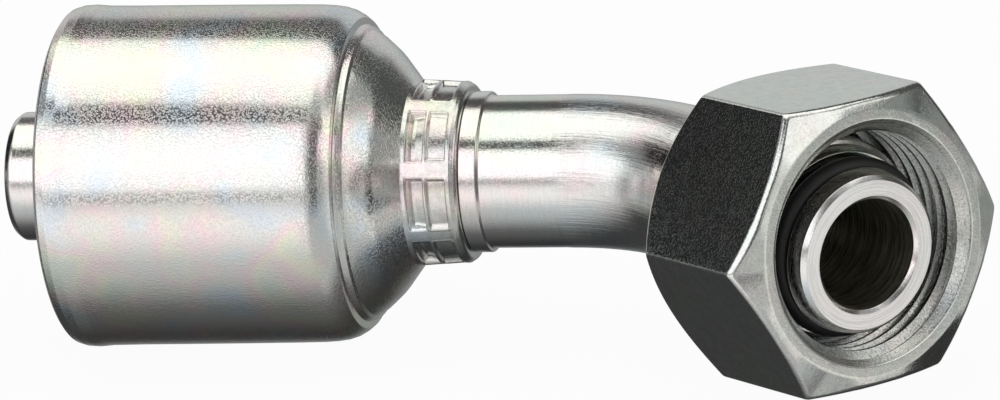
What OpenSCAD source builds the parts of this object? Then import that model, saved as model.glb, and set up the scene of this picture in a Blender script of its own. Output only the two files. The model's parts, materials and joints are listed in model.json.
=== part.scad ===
// Crimp hose fitting: a shell staked on a one-piece stem, with a 45 degree elbow, a coned nose
// and a loose hexagon nut, for one end of a hydraulic hose.
// The hose axis is X. The mouth of the shell is at x = 0 and the hose leaves towards -X.
// The elbow turns towards -Y, in the plane z = 0. Sizes are millimetres.

/* [Crimp shell] */
// Outside diameter of the barrel, just behind the bead at its mouth
shell_d = 44.7; // [42:0.1:50]
// How much narrower the barrel is at the shoulder
barrel_taper = 0.5; // [0:0.1:1.5]
// Length of the barrel, from the mouth to the shoulder
barrel_len = 34; // [30:0.5:60]
// Wall of the barrel, down to the tips of the inside teeth
shell_wall = 4.7; // [4:0.1:6]
// Height of the bead round the mouth
mouth_bead = 0.26; // [0:0.01:0.6]
// Radius of the rounded edge of the mouth
mouth_round = 1.5; // [0.8:0.1:2]
// Number of teeth inside the barrel
tooth_count = 6; // [3:1:10]
// Depth of the grooves between the inside teeth
tooth_depth = 1.1; // [0.5:0.1:1.5]
// Length of the rounded shoulder
shoulder_len = 5.2; // [4:0.1:7]
// How far the shoulder falls, on the radius
shoulder_drop = 1.9; // [1:0.1:3]
// Depth of the step behind the shoulder's lip
lip_step = 0.8; // [0.4:0.1:1.5]
// Length of the dome, with the ledge at its foot
dome_len = 4.2; // [3:0.1:8]
// How far the dome falls, on the radius
dome_drop = 2.8; // [1.5:0.1:4]

/* [Neck] */
// Diameter of the neck where it leaves the dome
neck_d = 24.7; // [23:0.1:28]
// How much narrower the neck is at its end
neck_taper = 1.1; // [0:0.1:2]
// Length of the neck
neck_len = 7.2; // [6:0.1:12]
// Number of dies that staked the neck
stake_count = 8; // [6:1:12]
// Width of the ribs left between the dies, in degrees
stake_rib = 11.5; // [6:0.5:20]
// Depth of the row of dents next to the dome
stake_deep = 0.85; // [0.3:0.05:1.2]
// Depth of the row of dents next to the end bead
stake_shallow = 0.4; // [0.2:0.05:0.8]
// Turn of the die marks round the neck, in degrees
stake_turn = 26.8; // [0:0.1:60]

/* [Hose tail] */
// Outside diameter of the hose tail
tail_d = 17.1; // [16:0.1:18]
// Bore of the hose tail
tail_bore = 13; // [11:0.1:14]
// How far the tail stands out of the mouth
tail_reach = 8.1; // [4:0.1:14]
// Number of barbs on the tail
barb_count = 9; // [4:1:11]
// Depth of the barbs
barb_depth = 0.65; // [0.3:0.05:0.8]

/* [Tube] */
// Outside diameter of the tube
tube_d = 20; // [19:0.1:20.6]
// Bore of the tube
tube_bore = 14; // [12:0.1:15]
// How much the straight tube is turned and reamed after bending, on the radius
tube_turned = 0.1; // [0.05:0.05:0.2]
// Diameter of the seat that the neck is staked on
seat_d = 18.8; // [18:0.1:19.4]
// Diameter of the stop ring in front of the neck
stop_d = 21; // [20.8:0.1:21.4]
// Width of the stop ring
stop_w = 2.4; // [1.5:0.1:4]
// Straight tube from the stop ring to the bend
straight_len = 10.3; // [6:0.1:30]
// Radius of the bend, on the tube's centre line
bend_r = 28; // [24:0.5:60]
// Angle of the bend, in degrees
bend_angle = 45; // [30:1:90]
// Straight leg from the bend to the face of the nose
leg_len = 34.9; // [30:0.1:60]

/* [Nose] */
// Diameter of the face of the nose
nose_d = 20.2; // [19:0.1:21]
// Full angle of the sealing cone, in degrees
cone_angle = 24; // [20:1:30]
// Distance from the face to the seal groove
groove_at = 2.8; // [2:0.1:4]
// Diameter of the shoulder behind the seal groove
land_d = 23.5; // [23:0.1:24]
// Diameter of the collar that the nut pulls on
collar_d = 26; // [25:0.1:26.2]
// Distance from the face to the collar
collar_at = 8.3; // [8:0.1:12]
// Width of the collar
collar_w = 2.3; // [1.5:0.1:4]

/* [Seal ring] */
// Thickness of the rubber ring
seal_d = 2.6; // [2:0.1:2.8]

/* [Swivel nut] */
// Distance across the flats
nut_flats = 36.6; // [35:0.2:41]
// Length of the nut
nut_len = 22.8; // [21:0.1:26]
// Diameter where the front chamfer meets the plane of the front face
nut_face_d = 37.2; // [33:0.1:39]
// Diameter of the flat rear face, inside its chamfer
nut_rear_d = 35; // [32.5:0.1:36]
// Angle of the front chamfer from the front face
nut_chamfer = 34; // [20:1:45]
// Outside diameter of the thread
thread_d = 30; // [30:0.5:31]
// Pitch of the thread
thread_pitch = 2; // [1.5:0.5:2]
// Bore behind the collar, which the tube passes through
nut_rear_bore = 21.8; // [21.6:0.1:22.6]
// How far the nut's face is ahead of the face of the nose
nut_ahead = 0.1; // [0:0.1:1.5]
// How far the loose nut leans off the leg, in degrees
nut_lean = 5; // [0:0.5:5.5]
// Direction of the lean, from upwards to the outside of the bend
nut_lean_turn = 29; // [-90:1:90]
// Turn of the hexagon, in degrees
nut_turn = -3; // [-30:0.5:30]

/* [Clearances] */
// Gap between the neck and the stem inside it
seat_gap = 0.05; // [0.02:0.01:0.1]
// Gap under the rubber ring
seal_gap = 0.03; // [0.01:0.01:0.05]

/* [Hidden] */
$fn = 96;

// Small edge breaks
edge = 0.5;
fine_edge = 0.3;

// Places along the shell
shoulder_x = barrel_len;
lip_x = shoulder_x + shoulder_len;
step_x = lip_x + 0.2;
ledge_x = step_x + 0.9;
dome_x = lip_x + dome_len;

// Radii of the shell
shell_r = shell_d/2;
barrel_r = shell_r - barrel_taper/2;
lip_r = barrel_r - shoulder_drop;
step_r = lip_r - lip_step;
ledge_r = step_r - 0.2;
dome_r = ledge_r - 0.2;
dome_end_r = dome_r - dome_drop;
tooth_r = shell_r - shell_wall;
neck_r = neck_d/2;
neck_end_r = neck_r - neck_taper/2;
seat_r = seat_d/2;
seat_hole_r = seat_r + seat_gap;

// A steep cone runs from the dome down to the neck, which the stop ring ends
neck_x = dome_x + (dome_end_r - neck_r)*tan(39);
neck_end_x = neck_x + neck_len;
stop_x = neck_end_x + seat_gap;
stop_end_x = stop_x + stop_w;
bend_x = stop_end_x + straight_len;

// Bead that the dies press inwards, and the groove in the stem that it fills
bead_h = 0.4;
bead_x = neck_x + neck_len/6;
bead_w = neck_len*0.6;

// Hose tail
tail_r = tail_d/2;
barb_r = tail_r - barb_depth;
barb_x = 2.5;
barb_end_x = lip_x - 1.5;
barb_pitch = (barb_end_x - barb_x)/barb_count;
seat_x = ledge_x + 1.5;
bore_step_x = seat_x + 1;

// Tube and nose; distances along the leg are measured back from the face of the nose
bend_tube_r = tube_d/2;
bend_bore_r = tube_bore/2;
tube_r = bend_tube_r - tube_turned;
bore_r = bend_bore_r + tube_turned;
tube_lap = 0.5;
bore_step_w = 4*(bore_r - tail_bore/2);
nose_r = nose_d/2;
land_r = land_d/2;
collar_r = collar_d/2;
groove_w = seal_d + 0.9;
groove_end = groove_at + groove_w;
groove_mid = groove_at + groove_w/2;
land_end = groove_end + 1.2;
land_slope = tan(cone_angle/2);
collar_edge = 0.8;
collar_end = collar_at + collar_w;
function cone_r(s) = nose_r + (s - edge)*tan(cone_angle/2);

// The groove's depth leaves a quarter of the ring standing above the cone
groove_r = cone_r(groove_mid) - 0.78*seal_d;

// Nut; distances along its axis are measured back from its face
thread_r = thread_d/2;
thread_crest_r = thread_r - 0.5413*thread_pitch;
countersink_r = thread_r + 0.5;
countersink_w = countersink_r - thread_crest_r;
relief_r = thread_r + 0.2;
rear_bore_r = nut_rear_bore/2;
rear_land = 4.7;
seat_end = nut_len - rear_land;
seat_start = seat_end - (thread_crest_r - rear_bore_r);
relief_w = 1.8;
rear_chamfer = 45;
nut_corner_r = nut_flats/2/cos(30);
nut_chamfer_w = (nut_corner_r - nut_face_d/2)*tan(nut_chamfer);
rear_chamfer_w = (nut_corner_r - nut_rear_d/2)*tan(rear_chamfer);
nut_pivot = nut_len - rear_land;

// Puts a shape that is drawn along Z on the hose axis
module on_hose_axis() {
    rotate([0, 90, 0]) children();
}

// Puts a shape that is drawn along Z on the leg, with z = 0 at the end of the bend
module on_leg() {
    translate([bend_x, -bend_r, 0])
        rotate([0, 0, -bend_angle])
            translate([0, bend_r, 0])
                rotate([0, 90, 0]) children();
}

// Puts a shape that is drawn backwards from z = 0, its front face, on the nut's own axis
module on_nut_axis() {
    on_leg()
        translate([0, 0, leg_len + nut_ahead - nut_pivot])
            rotate([0, -nut_lean, -nut_lean_turn])
                rotate([0, 0, nut_lean_turn])
                    translate([0, 0, nut_pivot])
                        mirror([0, 0, 1]) children();
}

// Half a section that lies under a convex arc through two points, down to the axis
module under_arc(start, end, arc_r) {
    chord = end - start;
    half = norm(chord)/2;
    inward = [-chord.y, chord.x]/norm(chord);
    centre = (start + end)/2 + inward*sqrt(arc_r*arc_r - half*half);
    polygon([[0, start.y], start, end, [0, end.y]]);
    intersection() {
        translate(centre) circle(r = arc_r);
        translate([0, start.y]) square([shell_d, end.y - start.y]);
    }
}

// Outside of the shell, as a half section with z along the hose axis
module shell_outline() {
    bead_r = shell_r + mouth_bead;
    bead_z = mouth_round + 0.9;
    bead_foot_z = bead_z + 2*mouth_round;
    under_arc([bead_r - mouth_round*0.62, 0], [bead_r, mouth_round], mouth_round*1.15);
    polygon([
        [0, mouth_round],
        [bead_r, mouth_round],
        [bead_r, bead_z],
        [shell_r, bead_foot_z],
        [barrel_r, shoulder_x],
        [0, shoulder_x]
    ]);
    shoulder_arc_r = (shoulder_len*shoulder_len + shoulder_drop*shoulder_drop)/2/shoulder_drop;
    under_arc([barrel_r, shoulder_x], [lip_r, lip_x], shoulder_arc_r);
    polygon([
        [0, lip_x],
        [lip_r, lip_x],
        [step_r, step_x],
        [ledge_r, ledge_x],
        [dome_r, ledge_x + 0.1],
        [0, ledge_x + 0.1]
    ]);
    under_arc([dome_r, ledge_x + 0.1], [dome_end_r, dome_x], 3*dome_drop);
    polygon([
        [0, dome_x],
        [dome_end_r, dome_x],
        [neck_r + edge, neck_x - edge],
        [neck_r, neck_x + edge],
        [neck_end_r, neck_end_x - edge],
        [neck_end_r - edge, neck_end_x],
        [0, neck_end_x]
    ]);
}

// Inside of the shell: the toothed cavity for the hose, and the hole that seats on the stem
module shell_cavity() {
    root_r = tooth_r + tooth_depth;
    first_x = 2.5;
    last_x = shoulder_x + 1;
    pitch = (last_x - first_x)/tooth_count;
    teeth = [for (i = [0:tooth_count - 1]) each [
        [root_r, first_x + i*pitch],
        [root_r, first_x + (i + 0.45)*pitch],
        [tooth_r, first_x + (i + 0.8)*pitch],
        [tooth_r, first_x + (i + 0.95)*pitch]
    ]];
    polygon(concat(
        [[0, -1], [root_r + 1.6, -1], [root_r + 0.6, 0], [root_r, 1.2]],
        teeth,
        [[tooth_r, last_x], [tooth_r - 2.2, lip_x - 1.2], [seat_hole_r + 1.2, seat_x - 0.6]],
        [[seat_hole_r, seat_x + 0.6], [0, seat_x + 0.6]]
    ));
    polygon(concat([[0, seat_x]], staked_seat(seat_hole_r, seat_x, neck_end_x + 1), [[0, neck_end_x + 1]]));
}

// Outline of the staked seat, from one place on the hose axis to another
function staked_seat(r, from, to) = [
    [r, from],
    [r, bead_x],
    [r - bead_h, bead_x + bead_h],
    [r - bead_h, bead_x + bead_w - bead_h],
    [r, bead_x + bead_w],
    [r, to]
];

// One dent of a row: a sector with a sloping floor
module die_mark(from_x, to_x, from_r, to_r) {
    outside = neck_r + 2;
    rotate_extrude(angle = 360/stake_count - stake_rib)
        polygon([[from_r, from_x], [to_r, to_x], [outside, to_x], [outside, from_x]]);
}

// Two rows of dents round the neck, with a ridge between them and a bead at the end
module die_marks() {
    deep_x = neck_x + 0.5;
    ridge_x = neck_x + neck_len*0.4;
    shallow_x = ridge_x + 0.5;
    end_x = neck_end_x - 1.3;
    for (i = [0:stake_count - 1])
        rotate([0, 0, stake_turn + stake_rib/2 + i*360/stake_count]) {
            die_mark(deep_x, ridge_x, neck_r - stake_deep, neck_r - stake_deep*0.6);
            die_mark(shallow_x, end_x, neck_end_r - stake_shallow, neck_end_r - stake_shallow);
        }
}

module crimp_shell() {
    color("#c9ccc6")
        on_hose_axis()
            difference() {
                rotate_extrude() difference() {
                    shell_outline();
                    shell_cavity();
                }
                die_marks();
            }
}

// Half section of the stem from the tip of the tail to just inside the bend
module straight_section() {
    tip_x = -tail_reach;
    barbs = [for (i = [0:barb_count - 1]) each [
        [barb_r, barb_x + i*barb_pitch],
        [tail_r, barb_x + (i + 0.8)*barb_pitch]
    ]];
    polygon(concat(
        [[tail_bore/2, tip_x + edge], [tail_bore/2 + edge, tip_x], [tail_r - edge, tip_x]],
        [[tail_r, tip_x + 2*edge], [tail_r, barb_x - edge]],
        barbs,
        [[barb_r, barb_end_x], [barb_r, seat_x - 1]],
        staked_seat(seat_r, seat_x, stop_x),
        [[stop_d/2, stop_x], [stop_d/2, stop_end_x], [tube_r, stop_end_x]],
        [[tube_r, bend_x + tube_lap], [bore_r, bend_x + tube_lap]],
        [[bore_r, bore_step_x + bore_step_w], [tail_bore/2, bore_step_x]]
    ));
}

// Half section of the leg, from just inside the end of the bend to the face of the nose
module leg_section() {
    shoulder_end = collar_end + collar_r - tube_r;
    polygon([
        [bore_r, -tube_lap],
        [tube_r, -tube_lap],
        [tube_r, leg_len - shoulder_end],
        [collar_r, leg_len - collar_end],
        [collar_r, leg_len - collar_at - collar_edge],
        [collar_r - collar_edge, leg_len - collar_at],
        [land_r + (land_end - groove_end)*land_slope, leg_len - land_end],
        [land_r, leg_len - groove_end],
        [groove_r, leg_len - groove_end],
        [groove_r, leg_len - groove_at],
        [cone_r(groove_at), leg_len - groove_at],
        [nose_r, leg_len - edge],
        [nose_r - edge, leg_len],
        [bore_r + fine_edge, leg_len],
        [bore_r, leg_len - fine_edge]
    ]);
}

module bent_stem() {
    color("#b9bcb8") {
        on_hose_axis() rotate_extrude() straight_section();
        translate([bend_x, -bend_r, 0])
            rotate_extrude(angle = bend_angle, start = 90 - bend_angle)
                translate([bend_r, 0]) difference() {
                    circle(r = bend_tube_r);
                    circle(r = bend_bore_r);
                }
        on_leg() rotate_extrude() leg_section();
    }
}

module seal_ring() {
    color("#1c1c1c")
        on_leg()
            translate([0, 0, leg_len - groove_mid])
                rotate_extrude()
                    translate([groove_r + seal_gap + seal_d/2, 0]) circle(r = seal_d/2);
}

// Hexagon with a chamfer at both ends, drawn backwards from its front face
module nut_blank() {
    intersection() {
        rotate([0, 0, 90 + nut_turn]) cylinder(r = nut_corner_r, h = nut_len, $fn = 6);
        rotate_extrude() polygon([
            [0, 0],
            [nut_face_d/2, 0],
            [nut_corner_r + 0.1, nut_chamfer_w + 0.1*tan(nut_chamfer)],
            [nut_corner_r + 0.1, nut_len - rear_chamfer_w - 0.1*tan(rear_chamfer)],
            [nut_rear_d/2, nut_len],
            [0, nut_len]
        ]);
    }
}

// Countersink, thread hole, relief, 45 degree seat and rear bore
module nut_hole() {
    rotate_extrude() polygon([
        [0, -1],
        [countersink_r + 1, -1],
        [thread_crest_r, countersink_w],
        [thread_crest_r, seat_start - relief_w - 1],
        [relief_r, seat_start - relief_w],
        [relief_r, seat_start - 0.4],
        [thread_crest_r, seat_start],
        [rear_bore_r, seat_end],
        [rear_bore_r, nut_len - edge],
        [rear_bore_r + edge + 1, nut_len + 1],
        [0, nut_len + 1]
    ]);
}

module swivel_nut() {
    color("#8f928e")
        on_nut_axis()
            difference() {
                nut_blank();
                nut_hole();
            }
}

crimp_shell();
bent_stem();
seal_ring();
swivel_nut();
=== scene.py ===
"""Looks of a crimp hose fitting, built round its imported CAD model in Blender 4.5.

Each CAD node is replaced by a piece with the rounded edges, staking marks, barbs and thread of
the real one. Sizes are millimetres in the classes and metres in the meshes. The hose axis is X,
the mouth of the shell is at x = 0, and the elbow turns towards -Y.
"""

from __future__ import annotations

import json
import logging
import math
from dataclasses import dataclass
from enum import Enum
from typing import Any, Mapping, Sequence

import bmesh
import bpy
import numpy as np
from mathutils import Matrix, Vector

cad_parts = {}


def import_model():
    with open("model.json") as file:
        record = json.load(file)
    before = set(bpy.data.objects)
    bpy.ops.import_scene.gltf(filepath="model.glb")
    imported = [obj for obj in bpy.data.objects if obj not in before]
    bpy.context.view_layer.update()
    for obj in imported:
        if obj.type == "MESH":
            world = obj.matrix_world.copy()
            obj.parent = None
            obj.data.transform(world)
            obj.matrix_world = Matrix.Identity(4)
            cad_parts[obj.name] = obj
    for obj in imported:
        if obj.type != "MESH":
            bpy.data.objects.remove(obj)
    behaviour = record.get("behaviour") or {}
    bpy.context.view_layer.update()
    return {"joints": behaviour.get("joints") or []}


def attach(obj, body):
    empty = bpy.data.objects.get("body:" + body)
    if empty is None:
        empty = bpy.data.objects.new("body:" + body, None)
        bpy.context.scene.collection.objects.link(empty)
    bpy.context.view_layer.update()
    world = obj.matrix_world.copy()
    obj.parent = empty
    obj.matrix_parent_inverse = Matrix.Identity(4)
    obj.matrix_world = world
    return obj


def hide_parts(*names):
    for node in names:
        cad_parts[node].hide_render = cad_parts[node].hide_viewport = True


LOG = logging.getLogger("crimp_fitting")
MM = 0.001
Socket = bpy.types.NodeSocket
Mesh = bpy.types.Mesh
Piece = bpy.types.Object
Material = bpy.types.Material
Triple = tuple[float, float, float]
# Place along the axis, radius and corner radius.
Corner = tuple[float, float, float]
Corners = tuple[Corner, ...]
Colour = tuple[float, float, float]
# Half the angle at a corner above which its two edges count as one line.
STRAIGHT = math.radians(89.5)
# Largest share of an edge that the rounding of one corner takes.
ROUND_SHARE = 0.48
# Numbers of the Mix node's inputs and output for vectors and for colours.
MIX_VECTORS, MIX_VECTOR = (4, 5), 1
MIX_COLOURS, MIX_COLOUR = (6, 7), 2


class Body(Enum):
    """Bodies of the CAD model that pieces ride on."""

    FITTING = "fitting"
    NUT = "nut"


class Slot(Enum):
    """Material slots of the record."""

    SHELL = "zinc_shell"
    STEM = "zinc_stem"
    NUT = "zinc_nut"
    SEAL = "nitrile_rubber"


@dataclass(frozen=True)
class Placement:
    """Where a turned shape goes: its own Z axis lies along axis, through origin, in millimetres."""

    origin: Triple
    axis: Triple

    def matrix(self) -> Matrix:
        """The placement as a matrix in metres.

        Returns:
            The matrix that takes the shape's own coordinates to the row frame.
        """
        along = Vector(self.axis).normalized()
        side = Vector((0, 0, 1)).cross(along).normalized()
        first = side.cross(along)
        turn = Matrix((first, side, along)).transposed().to_4x4()
        return Matrix.Translation(Vector(self.origin) * MM) @ turn


# Placement of what is turned round the hose axis.
HOSE = Placement((0, 0, 0), (1, 0, 0))


# Outlines and meshes of turned shapes


def rounded(corners: Sequence[Corner], steps: int = 4) -> np.ndarray:
    """Rounds the corners of a closed outline.

    Args:
        corners: Place along the axis, radius and corner radius of each corner, in millimetres.
        steps: Number of edges that a rounded corner gets.

    Returns:
        The points of the outline, one row each, with as many rows for any sizes.
    """
    points: list[np.ndarray] = []
    plain = [np.array(c[:2], float) for c in corners]
    for i, (here, corner) in enumerate(zip(plain, corners)):
        back, ahead = plain[i - 1] - here, plain[(i + 1) % len(plain)] - here
        back_len, ahead_len = np.linalg.norm(back), np.linalg.norm(ahead)
        back, ahead = back / back_len, ahead / ahead_len
        half = math.acos(float(np.clip(back @ ahead, -1, 1))) / 2
        if corner[2] <= 0 or half > STRAIGHT:
            points.append(here)
            continue
        reach = min(corner[2] / math.tan(half), ROUND_SHARE * back_len, ROUND_SHARE * ahead_len)
        radius = reach * math.tan(half)
        middle = (back + ahead) / np.linalg.norm(back + ahead)
        centre = here + middle * radius / math.sin(half)
        first, last = here + back * reach - centre, here + ahead * reach - centre
        spread = math.acos(float(np.clip(first @ last / radius**2, -1, 1)))
        t = np.linspace(0, 1, steps + 1)[:, None]
        arc = np.sin((1 - t) * spread) * first + np.sin(t * spread) * last
        points.extend(centre + arc / math.sin(spread))
    return np.array(points)


def filled(outline: np.ndarray, start: float, end: float, step: float) -> np.ndarray:
    """Adds points to the long edges of a closed outline between two places on the axis.

    Args:
        outline: Points of the outline.
        start: Place on the axis where the added points start.
        end: Place on the axis where they end.
        step: Longest edge that is left.

    Returns:
        The outline with the added points.
    """
    points: list[np.ndarray] = []
    for here, ahead in zip(outline, np.roll(outline, -1, axis=0)):
        points.append(here)
        low, high = sorted((here[0], ahead[0]))
        if high - low <= step or high <= start or low >= end:
            continue
        first, last = max(low, start), min(high, end)
        count = max(1, math.ceil((last - first) / step))
        places = np.linspace(first, last, count + 1)
        places = places[(places > low + 1e-6) & (places < high - 1e-6)]
        shares = np.sort((places - here[0]) / (ahead[0] - here[0]))
        points.extend(here + (ahead - here) * shares[:, None])
    return np.array(points)


def smooth_step(value: np.ndarray, low: float, high: float) -> np.ndarray:
    """Rises smoothly from 0 at the low value to 1 at the high one."""
    t = np.clip((value - low) / (high - low), 0, 1)
    return t * t * (3 - 2 * t)


def window(value: np.ndarray, rise: tuple[float, float], fall: tuple[float, float]) -> np.ndarray:
    """Rises smoothly from 0 to 1 over the first stretch and falls back over the second."""
    return smooth_step(value, *rise) * (1 - smooth_step(value, *fall))


def turned_mesh(name: str, columns: np.ndarray, angles: np.ndarray,
                whole: bool = True) -> Mesh:
    """Makes a mesh from outlines set round an axis.

    Args:
        name: Name of the mesh.
        columns: One closed outline for each angle, as (angle, point, (along, radius)).
        angles: Angle of each outline, in radians, counter-clockwise.
        whole: Whether the last outline joins the first.

    Returns:
        The mesh, with its axis on Z, in metres. Its attribute "turned" holds the length along
        the outline in metres, and the cosine and sine of the angle.
    """
    count, rows = columns.shape[:2]
    cos, sin = np.cos(angles)[:, None], np.sin(angles)[:, None]
    radius, along = columns[..., 1], columns[..., 0]
    points = np.stack([radius * cos, radius * sin, along], axis=-1).reshape(-1, 3) * MM
    edges = np.linalg.norm(np.diff(columns, axis=1, prepend=columns[:, :1]), axis=2)
    length = np.cumsum(edges, axis=1) * MM
    turned = np.stack([length, cos + 0 * length, sin + 0 * length], axis=-1).reshape(-1, 3)
    here = np.arange(count if whole else count - 1)[:, None] * rows
    ahead = (here + rows) % (count * rows)
    low = np.arange(rows)
    high = (low + 1) % rows
    faces = np.stack([here + low, ahead + low, ahead + high, here + high], axis=-1)
    mesh = bpy.data.meshes.new(name)
    mesh.from_pydata(points.tolist(), [], faces.reshape(-1, 4).tolist())
    attribute = mesh.attributes.new("turned", "FLOAT_VECTOR", "POINT")
    attribute.data.foreach_set("vector", turned.astype(np.float32).ravel())
    signed = np.sum(columns[0, :, 0] * np.roll(columns[0, :, 1], -1)
                    - np.roll(columns[0, :, 0], -1) * columns[0, :, 1])
    if signed < 0:
        mesh.flip_normals()
    mesh.shade_smooth()
    return mesh


def lathe(name: str, outline: np.ndarray, segments: int) -> Mesh:
    """Turns one closed outline round Z, with the given number of segments."""
    angles = np.arange(segments) * 2 * math.pi / segments
    return turned_mesh(name, np.repeat(outline[None], segments, axis=0), angles)


def face_places(mesh: Mesh) -> tuple[np.ndarray, np.ndarray]:
    """Finds where the faces of a turned mesh are.

    Args:
        mesh: Mesh with its axis on Z.

    Returns:
        The height and the distance from the axis of each face's middle, in millimetres.
    """
    middles = np.empty(len(mesh.polygons) * 3, np.float32)
    mesh.polygons.foreach_get("center", middles)
    middles = middles.reshape(-1, 3) / MM
    return middles[:, 2], np.hypot(middles[:, 0], middles[:, 1])


# Node trees


class Wiring:
    """Adds nodes to one tree, and takes a socket or a plain value for each input."""

    def __init__(self, tree: bpy.types.NodeTree) -> None:
        """Keeps the tree that the nodes go into."""
        self.tree = tree

    def node(self, kind: str, inputs: Mapping[Any, Any] | None = None,
             **settings: Any) -> bpy.types.Node:
        """Adds a node.

        Args:
            kind: Blender's name of the node's type.
            inputs: Socket or plain value for each input, by its name or number.
            settings: Properties of the node.

        Returns:
            The new node.
        """
        made = self.tree.nodes.new(kind)
        for key, value in settings.items():
            setattr(made, key, value)
        for key, value in (inputs or {}).items():
            if isinstance(value, Socket):
                self.tree.links.new(value, made.inputs[key])
            else:
                made.inputs[key].default_value = value
        return made

    def math(self, operation: str, *values: Any) -> Socket:
        """Adds a Math node in shader or geometry trees and returns its result."""
        return self.node("ShaderNodeMath", dict(enumerate(values)), operation=operation).outputs[0]

    def vector(self, **parts: Any) -> Socket:
        """Joins the given ones of X, Y and Z to a vector, with 0 for the rest."""
        return self.node("ShaderNodeCombineXYZ", parts).outputs[0]

    def parts(self, vector: Socket) -> Any:
        """Splits a vector into its X, Y and Z."""
        return self.node("ShaderNodeSeparateXYZ", {0: vector}).outputs

    def ramp(self, value: Any, low: Any, high: Any, to_low: float = 0.0,
             to_high: float = 1.0) -> Socket:
        """Adds a smooth step from one value to another and returns its result."""
        inputs = {"Value": value, "From Min": low, "From Max": high,
                  "To Min": to_low, "To Max": to_high}
        made = self.node("ShaderNodeMapRange", inputs, interpolation_type="SMOOTHSTEP")
        return made.outputs["Result"]

    def noise(self, place: Socket, scale: float, detail: float, rough: float = 0.5) -> Socket:
        """Adds a noise over the given coordinates and returns its value."""
        inputs = {"Vector": place, "Scale": scale, "Detail": detail, "Roughness": rough}
        return self.node("ShaderNodeTexNoise", inputs).outputs["Fac"]

    def blend(self, share: Socket, first: Any, second: Any) -> Socket:
        """Blends two colours, each a socket or a plain colour, and returns the result."""
        ends = [end if isinstance(end, Socket) else (*end, 1) for end in (first, second)]
        inputs = {"Factor": share, **dict(zip(MIX_COLOURS, ends))}
        return self.node("ShaderNodeMix", inputs, data_type="RGBA").outputs[MIX_COLOUR]

    def bump(self, height: Socket, distance: float, normal: Socket | None = None) -> Socket:
        """Adds a bump of the given distance, in millimetres, and returns the normal."""
        before = {"Normal": normal} if normal else {}
        inputs = {"Height": height, "Distance": distance * MM, **before}
        return self.node("ShaderNodeBump", inputs).outputs[0]

    def direct(self) -> Socket:
        """Adds a switch that is 1 for rays from the camera, mirrored and refracted ones too."""
        path = self.node("ShaderNodeLightPath").outputs
        turned = self.math("MAXIMUM", path["Is Glossy Ray"], path["Is Transmission Ray"])
        return self.math("MAXIMUM", path["Is Camera Ray"], turned)


class PieceTree(Wiring):
    """A Geometry Nodes tree with named inputs that ends in Realize Instances and Set Material."""

    def __init__(self, name: str, values: Mapping[str, float | int]) -> None:
        """Makes the tree and its inputs.

        Args:
            name: Name of the tree.
            values: Value of each named input; whole numbers make whole-number inputs.
        """
        super().__init__(bpy.data.node_groups.new(name, "GeometryNodeTree"))
        kinds = {key: "NodeSocketInt" if isinstance(value, int) else "NodeSocketFloat"
                 for key, value in values.items()}
        kinds["Material"] = "NodeSocketMaterial"
        new = self.tree.interface.new_socket
        new(name="Geometry", in_out="INPUT", socket_type="NodeSocketGeometry")
        self.sockets = {key: new(name=key, in_out="INPUT", socket_type=kind).identifier
                        for key, kind in kinds.items()}
        new(name="Geometry", in_out="OUTPUT", socket_type="NodeSocketGeometry")
        self.values = dict(values)
        self.given = self.node("NodeGroupInput").outputs

    def position(self) -> Any:
        """X, Y and Z of each point."""
        return self.parts(self.node("GeometryNodeInputPosition").outputs[0])

    def moved(self, geometry: Socket, place: Socket) -> Socket:
        """Moves each point of the geometry to the given place."""
        inputs = {"Geometry": geometry, "Position": place}
        return self.node("GeometryNodeSetPosition", inputs).outputs[0]

    def finish(self, geometry: Socket) -> None:
        """Ends the tree.

        Args:
            geometry: What the tree has made.
        """
        real = self.node("GeometryNodeRealizeInstances", {"Geometry": geometry}).outputs[0]
        dressed = self.node("GeometryNodeSetMaterial",
                            {"Geometry": real, "Material": self.given["Material"]})
        self.node("NodeGroupOutput", {0: dressed.outputs[0]})

    def applied(self, piece: Piece, material: Material) -> None:
        """Runs the tree on a piece and keeps the result as its plain mesh.

        Args:
            piece: Piece that goes in, and that gets the new mesh.
            material: Material that the tree sets.
        """
        modifier = piece.modifiers.new(self.tree.name, "NODES")
        modifier.node_group = self.tree
        for key, value in self.values.items():
            modifier[self.sockets[key]] = value
        modifier[self.sockets["Material"]] = material
        flatten(piece)


def flatten(piece: Piece) -> None:
    """Turns a piece with live modifiers into a plain mesh without them.

    Args:
        piece: Piece that keeps the result.
    """
    bpy.context.view_layer.update()
    graph = bpy.context.evaluated_depsgraph_get()
    mesh = bpy.data.meshes.new_from_object(piece.evaluated_get(graph),
                                           preserve_all_data_layers=True, depsgraph=graph)
    piece.modifiers.clear()
    piece.data = mesh
    mesh.name = piece.name


def new_piece(name: str, mesh: Mesh) -> Piece:
    """Puts a mesh in the scene.

    Args:
        name: Name of the object.
        mesh: Its mesh.

    Returns:
        The object, at the origin.
    """
    piece = bpy.data.objects.new(name, mesh)
    bpy.context.scene.collection.objects.link(piece)
    return piece


def new_material(name: str) -> tuple[Material, Wiring]:
    """Makes an empty material.

    Args:
        name: Name of the material.

    Returns:
        The material and the wiring of its tree.
    """
    made = bpy.data.materials.new(name)
    made.use_nodes = True
    made.node_tree.nodes.clear()
    return made, Wiring(made.node_tree)


def weigh_normals(piece: Piece) -> None:
    """Lets the large faces set the shading, so that flats stay flat beside their rounded edges.

    Args:
        piece: Piece that is shaded.
    """
    piece.data.shade_smooth()
    modifier = piece.modifiers.new("Weighted normals", "WEIGHTED_NORMAL")
    modifier.weight = 100
    modifier.mode = "FACE_AREA_WITH_ANGLE"
    flatten(piece)


# Finishes


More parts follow.
